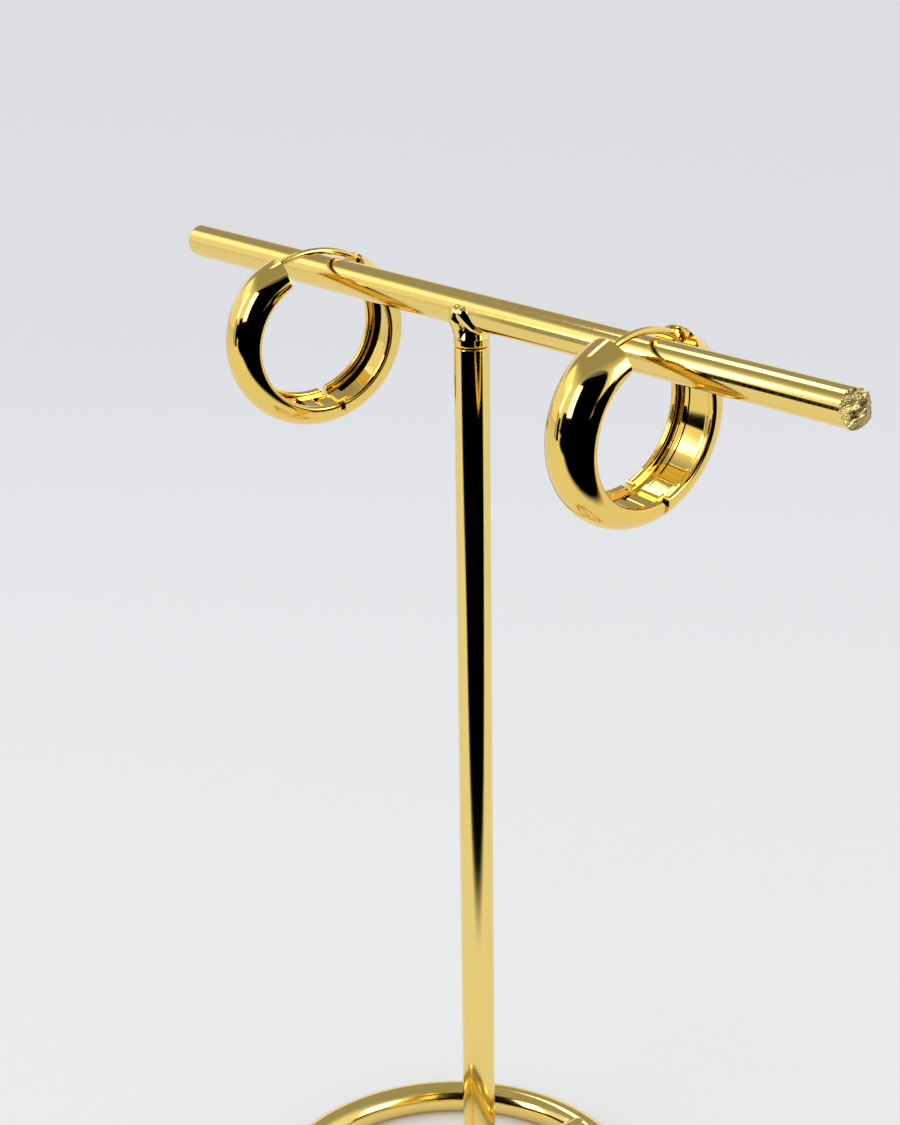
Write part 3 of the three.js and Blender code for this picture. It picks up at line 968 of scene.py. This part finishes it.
    def _trim(self, band: Workpiece, tip: tuple[float, float], face: float, side: int,
              ease: float) -> None:
        """Shapes a half's upper end and cuts its face at the hinge.

        Args:
            band: The half on the bench.
            tip: Angles of its upper end at the inner radius and at the crown.
            face: Place of its face at the hinge, forward of the pin.
            side: 1 for the front half, -1 for the back half.
            ease: Radius of the rims' inner corners at the face.
        """
        self._sink_tip(band, tip[1], -side)
        foot = self.on_end(tip, self.inner_radius)
        along = self.on_end(tip, self.crown_radius) - foot
        normal = side * Vector((0, along.z, -along.y)).normalized()
        band.slice_off(foot, normal, lambda place: place.z > 0)
        ahead = (self.from_pin(1, 0) - self.from_pin(0, 0)).normalized()
        band.slice_off(self.from_pin(face, 0), -side * ahead, lambda place: place.z < 0)
        self._ease_rims(band, face, side, ease)
        band.round_faces(
            lambda place: abs((place - foot).dot(normal)) < 2 * NEAR and place.z > 0,
            self.edge_round, segments=3)

    def _ease_rims(self, band: Workpiece, face: float, side: int, radius: float) -> None:
        """Rounds the rims' inner corners at the hinge with a few cuts along a round.

        Args:
            band: The half on the bench.
            face: Place of the half's face, forward of the pin.
            side: 1 for the front half, -1 for the back half.
            radius: Radius of the round.
        """
        reach = self.inner_radius + radius
        angle = self.hinge_angle + math.degrees(math.asin((face + side * radius) / reach))
        middle, out = self.polar(reach, angle), self.polar(1, angle)
        along = Vector((0, out.z, -out.y))
        end = self.from_pin(face, 0)
        for lean in self.ease_leans:
            turn = math.radians(lean)
            normal = -side * math.cos(turn) * along - math.sin(turn) * out
            band.slice_off(middle + normal * radius, normal,
                           lambda place: (place - end).length < self.ease_reach)

    def _channel_plate(self, start: float, end: float, width: float) -> Workpiece:
        """Plate that fills the channel next to the hinge.

        Args:
            start: Angle where it starts.
            end: Angle where it ends.
            width: Its size across the band.

        Returns:
            The plate.
        """
        deep = self.inner_radius + self.ledge_depth + self.groove_depth + self.plate_sink
        steps = self.plate_steps
        angles = [start + (end - start) * i / steps for i in range(steps + 1)]
        plate = Workpiece("channel_plate")
        plate.add_plate([self.polar(self.plate_radius, angle) for angle in angles]
                        + [self.polar(deep, angle) for angle in reversed(angles)], width)
        return plate

    def _hinge_plate(self, name: str, corners: list[tuple[float, float]],
                     width: float) -> Workpiece:
        """Plate across the band at the hinge.

        Args:
            name: Name of the plate.
            corners: Its corners, forward of the pin and outwards.
            width: Its size across the band.

        Returns:
            The plate.
        """
        plate = Workpiece(name)
        plate.add_plate([self.from_pin(*corner) for corner in corners], width)
        return plate

    def _pin_rod(self, name: str, length: float, radius: float, sides: int) -> Workpiece:
        """Rod about the pin's axis.

        Args:
            name: Name of the rod.
            length: Its length.
            radius: Its radius.
            sides: Its number of sides.

        Returns:
            The rod.
        """
        reach = Vector((length / 2, 0, 0))
        middle = self.polar(self.hinge_radius, self.hinge_angle)
        rod = Workpiece(name)
        rod.add_rod(middle - reach, middle + reach, radius, sides)
        return rod

    def _pin_bore(self) -> Workpiece:
        """Gives what the blind bore for the pin takes away."""
        return self._pin_rod("pin_bore", self.pin_length + 2 * self.clearance,
                             self.pin_radius + self.clearance, sides=32)

    def _tongue_slot(self) -> Workpiece:
        """Room in the front half for the tongue, at rest and as it turns open.

        Returns:
            What the slot takes away.
        """
        width = self.tongue_width + 2 * self.clearance
        side = self.knuckle_radius + self.clearance
        low = -side - self.overcut
        rise = self.neck_rise + self.clearance
        reach = 2 * (self.crown_radius - self.hinge_radius + self.overcut)
        turn = math.radians(self.open_angle)
        sine, cosine = math.sin(turn), math.cos(turn)
        slot = self._hinge_plate("tongue_slot", [
            (rise * sine, rise * cosine),
            (rise * sine - reach * cosine, rise * cosine + reach * sine),
            (-reach, 0), (low, low), (side, low), (side, 0)], width)
        slot.combine(self._pin_rod("slot_round", width, side, sides=48), Cut.JOIN)
        return slot

    def _front_half(self) -> Piece:
        """Front half of the band with its hinge cheeks and the ear wire.

        Returns:
            The finished piece.
        """
        hinge = self.hinge_angle
        band = self._band(f"{self.hang.name}_front_band", -(360 - hinge + self.hinge_spare))
        band.combine(self._channel_plate(hinge - self.plate_arc / 2, hinge + self.plate_arc,
                                         self.band_width - self.rim_width), Cut.JOIN)
        self._trim(band, self.front_tip, -self.knuckle_radius, 1, self.front_ease)
        turn = math.radians(self.open_angle)
        distance = self.knuckle_radius + self.slit - self.relief_margin
        foot = self.from_pin(-distance * math.cos(turn), distance * math.sin(turn))
        relief = (foot - self.from_pin(0, 0)).normalized()
        band.slice_off(foot, relief, lambda place: place.z < 0)
        band.combine(self._tongue_slot(), Cut.REMOVE)
        band.combine(self._pin_bore(), Cut.REMOVE)
        scoop = Workpiece("scoop")
        scoop.add_ball(self.on_end(self.front_tip, self.hang.wire_arc), self.scoop_radius, sides=40)
        band.combine(scoop, Cut.REMOVE)
        band.combine(self._ear_wire(), Cut.JOIN)
        return band.settle(self.place(), smooth_angle=35)

    def _ear_wire(self) -> Workpiece:
        """Round wire, bent to an arc, with a rounded tip.

        Returns:
            The wire.
        """
        wire = Workpiece("ear_wire")
        arc = self.wire_tip - self.wire_root
        wire.add_circle(self.wire_radius, 28, Vector((0, 0, self.hang.wire_arc)),
                        Y_AXIS, filled=True)
        wire.spin(arc, 72, ORIGIN, X_AXIS)
        end = self.polar(self.hang.wire_arc, arc)
        ahead = Vector((0, end.z, -end.y)).normalized()
        wire.pick(lambda place: (place - end).length < HAIR, Element.FACE)
        lean, rings = 0.0, 6
        for ring in range(1, rings):
            steeper = math.radians(90 * ring / rings)
            step = self.wire_radius * (math.sin(steeper) - math.sin(lean))
            wire.extrude(ahead * step)
            end = end + ahead * step
            factor = math.cos(steeper) / math.cos(lean)
            wire.stretch((factor, factor, factor), end)
            lean = steeper
        wire.close()
        wire.turn(self.wire_root)
        return wire

    def _back_half(self) -> Piece:
        """Back half of the band with its tongue and the catch.

        Returns:
            The finished piece.
        """
        hinge = self.hinge_angle
        band = self._band(f"{self.hang.name}_back_band", hinge + self.hinge_spare)
        band.combine(self._channel_plate(hinge - self.plate_arc, hinge, self.tongue_width),
                     Cut.JOIN)
        self._trim(band, self.back_tip, -self.knuckle_radius - self.seen_gap, -1, self.back_ease)
        band.combine(self._tongue(), Cut.JOIN)
        band.combine(self._pin_bore(), Cut.REMOVE)
        band.combine(self._socket(), Cut.REMOVE)
        return band.settle(self.place(), smooth_angle=35)

    def _tongue(self) -> Workpiece:
        """Knuckle on the pin with the neck that carries it.

        Returns:
            The tongue.
        """
        low, high = -self.knuckle_radius, self.neck_rise
        back = -self.knuckle_radius - self.seen_gap - self.overcut
        tongue = self._pin_rod("tongue", self.tongue_width, self.knuckle_radius, sides=48)
        neck = self._hinge_plate("neck", [(0, low), (0, high), (back, high), (back, low)],
                                 self.tongue_width)
        tongue.combine(neck, Cut.JOIN)
        return tongue

    def _socket(self) -> Workpiece:
        """Bore for the wire's tip, in the middle of a shallow dish.

        Returns:
            What the socket takes away.
        """
        mouth = self.on_end(self.back_tip, self.hang.wire_arc)
        ahead = Vector((0, mouth.z, -mouth.y)) / self.hang.wire_arc
        socket = Workpiece("socket")
        socket.add_rod(mouth - self.overcut * ahead, mouth + self.socket_depth * ahead,
                       self.socket_radius, sides=40)
        dish = Workpiece("dish")
        dish.add_ball(mouth + (self.dish_depth - self.dish_radius) * ahead, self.dish_radius,
                      sides=64)
        socket.combine(dish, Cut.JOIN)
        return socket


@dataclass(frozen=True)
class Card:
    """A flat card that only the metal's reflections show.

    Its middle and the way it faces are given towards the camera, to the right and up. A fade is
    the distances from its middle where it is clear and where it is full, and soft is the share of
    its size over which its edges fade.
    """

    name: str
    middle: Triple
    facing: Triple
    width: float
    height: float
    light: float
    fade: tuple[float, float] | None = None
    soft: float = 0.0


CARDS = (
    Card("dark_table", (0.80, 0.10, 0.0006), (0, 0, 1), 1.6, 1.6, 0.0, fade=(0.748, 0.718)),
    Card("dark_table_left", (0.66, -0.32, 0.0005), (0, 0, 1), 1.2, 1.2, 0.0, fade=(0.575, 0.535)),
    Card("dark_floor", (1.40, -0.25, 0.0004), (0, 0, 1), 3.4, 2.5, 0.0, soft=0.05),
    Card("dark_room", (1.15, -0.30, 1.0), (-1, 0.29, 0), 2.6, 2.9, 0.0, fade=(1.45, 1.1)),
    Card("dark_low", (0.75, -1.10, 0.18), (-0.62, 0.80, 0), 1.3, 0.50, 0.0, soft=0.1),
    Card("dark_low_right", (0.85, 0.90, 0.08), (-0.68, -0.73, 0), 1.2, 0.40, 0.0, soft=0.1),
    Card("grey_ceiling", (-0.45, -0.3, 1.6), (0, 0, -1), 4.2, 4.2, 0.36, soft=0.3),
    Card("grey_wall", (-1.5, -0.35, 1.05), (1, 0.2, 0), 2.4, 1.3, 0.36, soft=0.2),
    Card("pale_wall", (-0.55, -1.20, 0.85), (0.42, 0.9, -0.2), 1.1, 0.55, 1.4, soft=0.3),
    Card("left_softbox", (0.50, -0.75, 0.52), (-0.50, 0.75, -0.40), 0.30, 0.58, 5.0, soft=0.1),
    Card("right_softbox", (0.53, 0.72, 0.54), (-0.53, -0.72, -0.45), 0.46, 0.66, 5.0, soft=0.2),
    Card("bar_softbox", (-0.04, -0.90, 0.45), (0.04, 0.90, -0.33), 0.14, 0.46, 4.5, soft=0.15),
    Card("back_softbox", (-0.49, -0.26, 0.84), (0.49, 0.26, -0.72), 0.34, 0.16, 4.5, soft=0.15),
    Card("dark_side", (0.043, -0.42, 0.08), (0.0, 1.0, 0.0), 0.08, 0.16, 0.0, soft=0.12),
    Card("olive_side", (-0.03, -0.43, 0.10), (0.0, 1.0, 0.0), 0.05, 0.19, 0.35, soft=0.15),
)


@dataclass
class Studio:
    """Pale floor, soft light, cards for the reflections, and the camera, in metres."""

    towards_camera: Vector = field(default_factory=lambda: Vector((0.7631, -0.6463, 0)))
    to_right: Vector = field(default_factory=lambda: Vector((0.6463, 0.7631, 0)))
    camera_place: Triple = (0.16821, -0.14223, 0.17061)
    pitch: float = math.radians(20.36)
    roll: float = 0.014
    lens: float = 66.69
    sensor: float = 36.0
    clip: tuple[float, float] = (0.005, 50.0)
    floor_size: float = 12.0
    floor_span: tuple[float, float] = (-0.45, 0.10)
    # Painted light on the floor: its colour is painted greyer far off as painted shade and paler
    # near the camera as painted light, standing in for the light's fall-off.
    far_painted_shade: Colour = (0.75, 0.755, 0.785)
    near_painted_light: Colour = (0.865, 0.868, 0.878)
    tooth_scale: float = 900.0
    tooth_depth: float = 2.0e-5
    air: Colour = (0.995, 1.0, 1.0)
    air_strength: float = 0.93
    lamp_place: Triple = (0.5, -0.9, 1.3)
    lamp_aim: Triple = (0.0, 0.0, 0.06)
    lamp_size: float = 1.2
    lamp_energy: float = 3.0

    def build(self) -> None:
        """Builds floor, light, cards and camera."""
        self._floor()
        self._world()
        self._key_light()
        self._camera()
        for card in CARDS:
            self._hang_card(card)

    def at(self, forward: float, right: float, up: float) -> Vector:
        """Gives a point by its distances from the origin: to the camera, right and up."""
        return forward * self.towards_camera + right * self.to_right + Vector((0, 0, up))

    def _lay_sheet(self, name: str, place: Matrix, material: bpy.types.Material,
                   steps: int) -> Piece:
        """Lays a flat square of one metre, scaled and turned by its place.

        Args:
            name: Name of the sheet.
            place: Where it lies, and its size.
            material: Its material.
            steps: Number of squares along each side.

        Returns:
            The sheet.
        """
        sheet = Workpiece(name)
        sheet.edit()
        bpy.ops.mesh.primitive_grid_add(x_subdivisions=steps, y_subdivisions=steps, size=1.0)
        activate(sheet.piece)
        sheet.piece.matrix_world = place
        bpy.ops.object.transform_apply(location=True, rotation=True, scale=True)
        sheet.piece.data.materials.append(material)
        return sheet.piece

    def _floor(self) -> None:
        """Wide, plain, pale floor with a faint tooth, paler towards the camera: its colour carries
        a painted fall-off of light.
        """
        bench = NodeBench("pale_floor")
        tooth = bench.noise(bench.places, self.tooth_scale, detail=3.0)
        nearness = bench.add("ShaderNodeVectorMath", operation="DOT_PRODUCT")
        bench.join(bench.places, nearness.inputs[0])
        nearness.inputs[1].default_value = self.towards_camera
        share = bench.ranged(nearness.outputs["Value"], from_min=self.floor_span[0],
                             from_max=self.floor_span[1])
        # Painted light: the floor's colour runs from a painted shade far off to painted light near
        # the camera.
        colour = bench.ramp(share, [(0.0, self.far_painted_shade), (1.0, self.near_painted_light)])
        bench.join(colour, bench.shader.inputs["Base Color"])
        bench.join(bench.bump(tooth, self.tooth_depth), bench.shader.inputs["Normal"])
        bench.dial(bench.shader, roughness=0.9, specular_ior_level=0.1)
        size = Matrix.Diagonal((self.floor_size, self.floor_size, 1, 1))
        self._lay_sheet("studio_floor", size, bench.material, steps=8)

    def _world(self) -> None:
        """Even pale surroundings."""
        world = bpy.data.worlds.new("studio")
        world.use_nodes = True
        background = world.node_tree.nodes["Background"]
        background.inputs["Color"].default_value = (*self.air, 1.0)
        background.inputs["Strength"].default_value = self.air_strength
        bpy.context.scene.world = world

    def _key_light(self) -> None:
        """One large, weak light from the upper left."""
        light = bpy.data.lights.new("soft_light", "AREA")
        light.shape = "SQUARE"
        light.size = self.lamp_size
        light.energy = self.lamp_energy
        lamp = bpy.data.objects.new("soft_light", light)
        bpy.context.scene.collection.objects.link(lamp)
        lamp.location = self.at(*self.lamp_place)
        lamp.rotation_mode = "QUATERNION"
        aim = Vector(self.lamp_aim) - lamp.location
        lamp.rotation_quaternion = aim.to_track_quat("-Z", "Y")
        lamp.visible_glossy = False

    def _hang_card(self, card: Card) -> None:
        """Adds one card, hidden from all but the metal.

        Args:
            card: Which one.
        """
        normal = self.at(*card.facing).normalized()
        side = Z_AXIS.cross(normal)
        if side.length < NEAR:
            side = self.to_right.copy()
        side.normalize()
        turned = Matrix((side, normal.cross(side), normal)).transposed().to_4x4()
        place = (Matrix.Translation(self.at(*card.middle)) @ turned
                 @ Matrix.Diagonal((card.width, card.height, 1, 1)))
        sheet = self._lay_sheet(card.name, place, self._card_material(card), steps=4)
        for sight in ("camera", "diffuse", "shadow", "transmission"):
            setattr(sheet, f"visible_{sight}", False)

    def _card_material(self, card: Card) -> bpy.types.Material:
        """Builds a card's even light.

        Args:
            card: Which one.

        Returns:
            The material.
        """
        bench = NodeBench(card.name)
        bench.dial(bench.shader, base_color=(0, 0, 0, 1), specular_ior_level=0.0,
                   emission_color=(*WHITE, 1), emission_strength=card.light)
        if card.fade is not None:
            distance = bench.add("ShaderNodeVectorMath", operation="DISTANCE")
            bench.join(bench.places, distance.inputs[0])
            distance.inputs[1].default_value = self.at(*card.middle)
            edge = bench.ranged(distance.outputs["Value"], interpolation_type="SMOOTHSTEP",
                                from_min=card.fade[0], from_max=card.fade[1])
            bench.join(edge, bench.shader.inputs["Alpha"])
        if card.soft > 0:
            self._soften(bench, card.soft)
        return bench.material

    def _soften(self, bench: NodeBench, soft: float) -> None:
        """Fades a card's four edges.

        Args:
            bench: The card's nodes.
            soft: Share of its size over which they fade.
        """
        sides = bench.add("ShaderNodeSeparateXYZ")
        bench.join(bench.add("ShaderNodeTexCoord").outputs["UV"], sides.inputs[0])
        both = bench.add("ShaderNodeMath", operation="MULTIPLY")
        for side, factor in zip(("X", "Y"), both.inputs):
            inwards = bench.add("ShaderNodeMath", operation="PINGPONG")
            inwards.inputs[1].default_value = 0.5
            bench.join(sides.outputs[side], inwards.inputs[0])
            share = bench.ranged(inwards.outputs[0], interpolation_type="SMOOTHSTEP",
                                 from_max=soft)
            bench.join(share, factor)
        bench.join(both.outputs[0], bench.shader.inputs["Alpha"])

    def _camera(self) -> None:
        """Camera at the photograph's place."""
        camera = bpy.data.objects.new("camera", bpy.data.cameras.new("camera"))
        bpy.context.scene.collection.objects.link(camera)
        camera.data.lens = self.lens
        camera.data.sensor_width = self.sensor
        camera.data.clip_start, camera.data.clip_end = self.clip
        away = -self.towards_camera
        forward = math.cos(self.pitch) * away - Vector((0, 0, math.sin(self.pitch)))
        down = -math.sin(self.pitch) * away - Vector((0, 0, math.cos(self.pitch)))
        right = math.cos(self.roll) * self.to_right + math.sin(self.roll) * down
        below = -math.sin(self.roll) * self.to_right + math.cos(self.roll) * down
        turned = Matrix((right, -below, -forward)).transposed().to_4x4()
        camera.matrix_world = Matrix.Translation(self.camera_place) @ turned
        bpy.context.scene.camera = camera
        bpy.context.scene.view_settings.view_transform = "Standard"


HANGING = (
    Hang("left", along=-25.2, offset=2.0, turn=-11.8, lean=5.2, wire_arc=10.2),
    Hang("right", along=27.5, offset=1.4, turn=-0.2, lean=4.7, wire_arc=9.7),
)


def main() -> None:
    """Builds the stand, the pair of earrings and the studio, and reports each piece."""
    logging.basicConfig(level=logging.INFO, format="%(message)s")
    stand = Stand()
    pieces = stand.build()
    for hang in HANGING:
        pieces += Earring(hang, stand).build()
    for piece in pieces:
        LOG.info("%s: %d faces", piece.name, len(piece.data.polygons))
    Studio().build()


if __name__ == "__main__":
    main()
